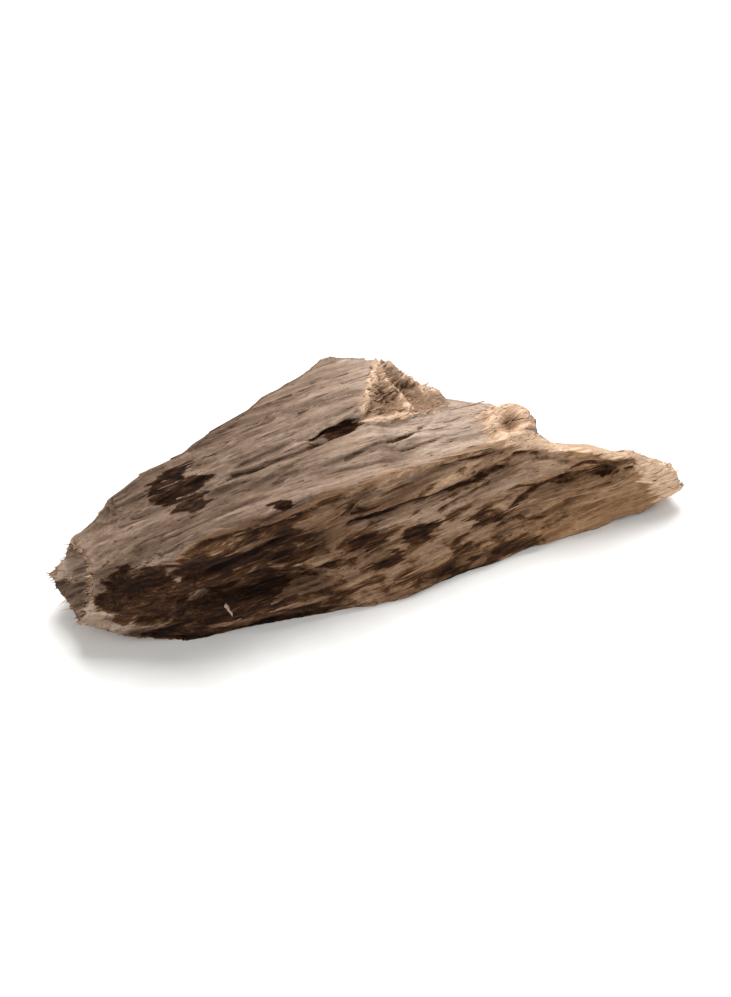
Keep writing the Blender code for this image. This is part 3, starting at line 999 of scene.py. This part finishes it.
def make_fibres(points, normals, zones, material):
    """The torn fibres of the end slope, the knob, the tip and the butt end."""
    slivers = Slivers()
    stand = FIBRE_STAND
    for place, plan in FIBRE_PLACES.items():
        forward = -1.0 if place == "butt" else 1.0
        chosen = np.flatnonzero((zones[place] > FIBRE_PLACE["zone"]) & (points[:, 2] > FIBRE_PLACE["height"])
                                & (normals[:, 0] * forward > FIBRE_PLACE["outward"]))
        for index in random.choices(chosen.tolist(), k=plan["count"]):
            normal = Vector(normals[index])
            sideways, upwards = random.gauss(0, stand["spread"]), random.gauss(stand["rise"], stand["spread"])
            way = Vector((forward, sideways, upwards)) + stand["lean"] * normal
            length, width = random.uniform(*plan["length"]), random.uniform(*plan["width"])
            root = Vector(points[index]) - way.normalized() * stand["root"]
            looks = {"weathered": FIBRE_LOOK["weathered"], "resin": random.choice(FIBRE_LOOK["resin"]),
                     "torn": random.uniform(*FIBRE_LOOK["torn"]),
                     "relief": random.uniform(*FIBRE_LOOK["relief"])}
            slivers.add(root, way, normal + Vector((0, 0, stand["upward"])), length, width,
                        width * FIBRE_THICKNESS, random.gauss(0.0, stand["bend"]) * length, looks)
    slivers.finish("agarwood_chip_fibres", material)


def make_splinters(points, normals, zones, material):
    """Splinters that lie along the grain on the split faces, and the small pale curl at the front."""
    slivers = Slivers()
    limits, spread = SPLINTER_PLACE, SPLINTER_STAND["spread"]
    calm = (np.abs(normals[:, 0]) < limits["end face"]) & (normals[:, 2] > limits["under"])
    inside = (np.abs(points[:, 0]) < limits["end"]) & (points[:, 1] < limits["rear"])
    inside &= points[:, 2] > limits["height"]
    chosen = np.flatnonzero(calm & inside & (zones["torn"] < limits["torn"]))
    tree = kdtree.KDTree(len(points))
    for index, point in enumerate(points.tolist()):
        tree.insert(point, index)
    tree.balance()
    for index in random.choices(chosen.tolist(), k=SPLINTERS["count"]):
        normal = Vector(normals[index])
        way = Vector((random.choice((-1.0, 1.0)), 0.0, 0.0))
        way.z = way.x * FRONT_GRAIN_CLIMB * zones["front"][index]
        way -= normal * way.dot(normal) * SPLINTER_STAND["flat"]
        way += Vector((0, random.gauss(0, spread), random.gauss(0, spread)))
        length, width = random.uniform(*SPLINTERS["length"]), random.uniform(*SPLINTERS["width"])
        looks = {name: float(zones[name][index]) for name in ZONES}
        looks["resin"] *= random.uniform(*SPLINTER_RESIN)
        root = Vector(points[index]) - way * length / 2 - normal * SPLINTERS["depth"]
        if max(tree.find(root)[2], tree.find(root + way * length)[2]) < SPLINTERS["gap"]:
            slivers.add(root, way, normal, length, width, width * SPLINTER_THICKNESS,
                        random.uniform(*SPLINTER_STAND["bend"]), looks)
    slivers.add(**CURL)
    slivers.finish("agarwood_chip_splinters", material)


make_camera()
make_lights()
studio_floor()
agarwood = split_agarwood()
skin_points, skin_normals, skin_zones = make_skin(frame["nodes"]["agarwood_chip"], agarwood)
make_fibres(skin_points, skin_normals, skin_zones, agarwood)
make_splinters(skin_points, skin_normals, skin_zones, agarwood)
for obj in bpy.data.objects:
    if obj.type == "MESH":
        print("triangles", obj.name, sum(len(face.vertices) - 2 for face in obj.data.polygons))
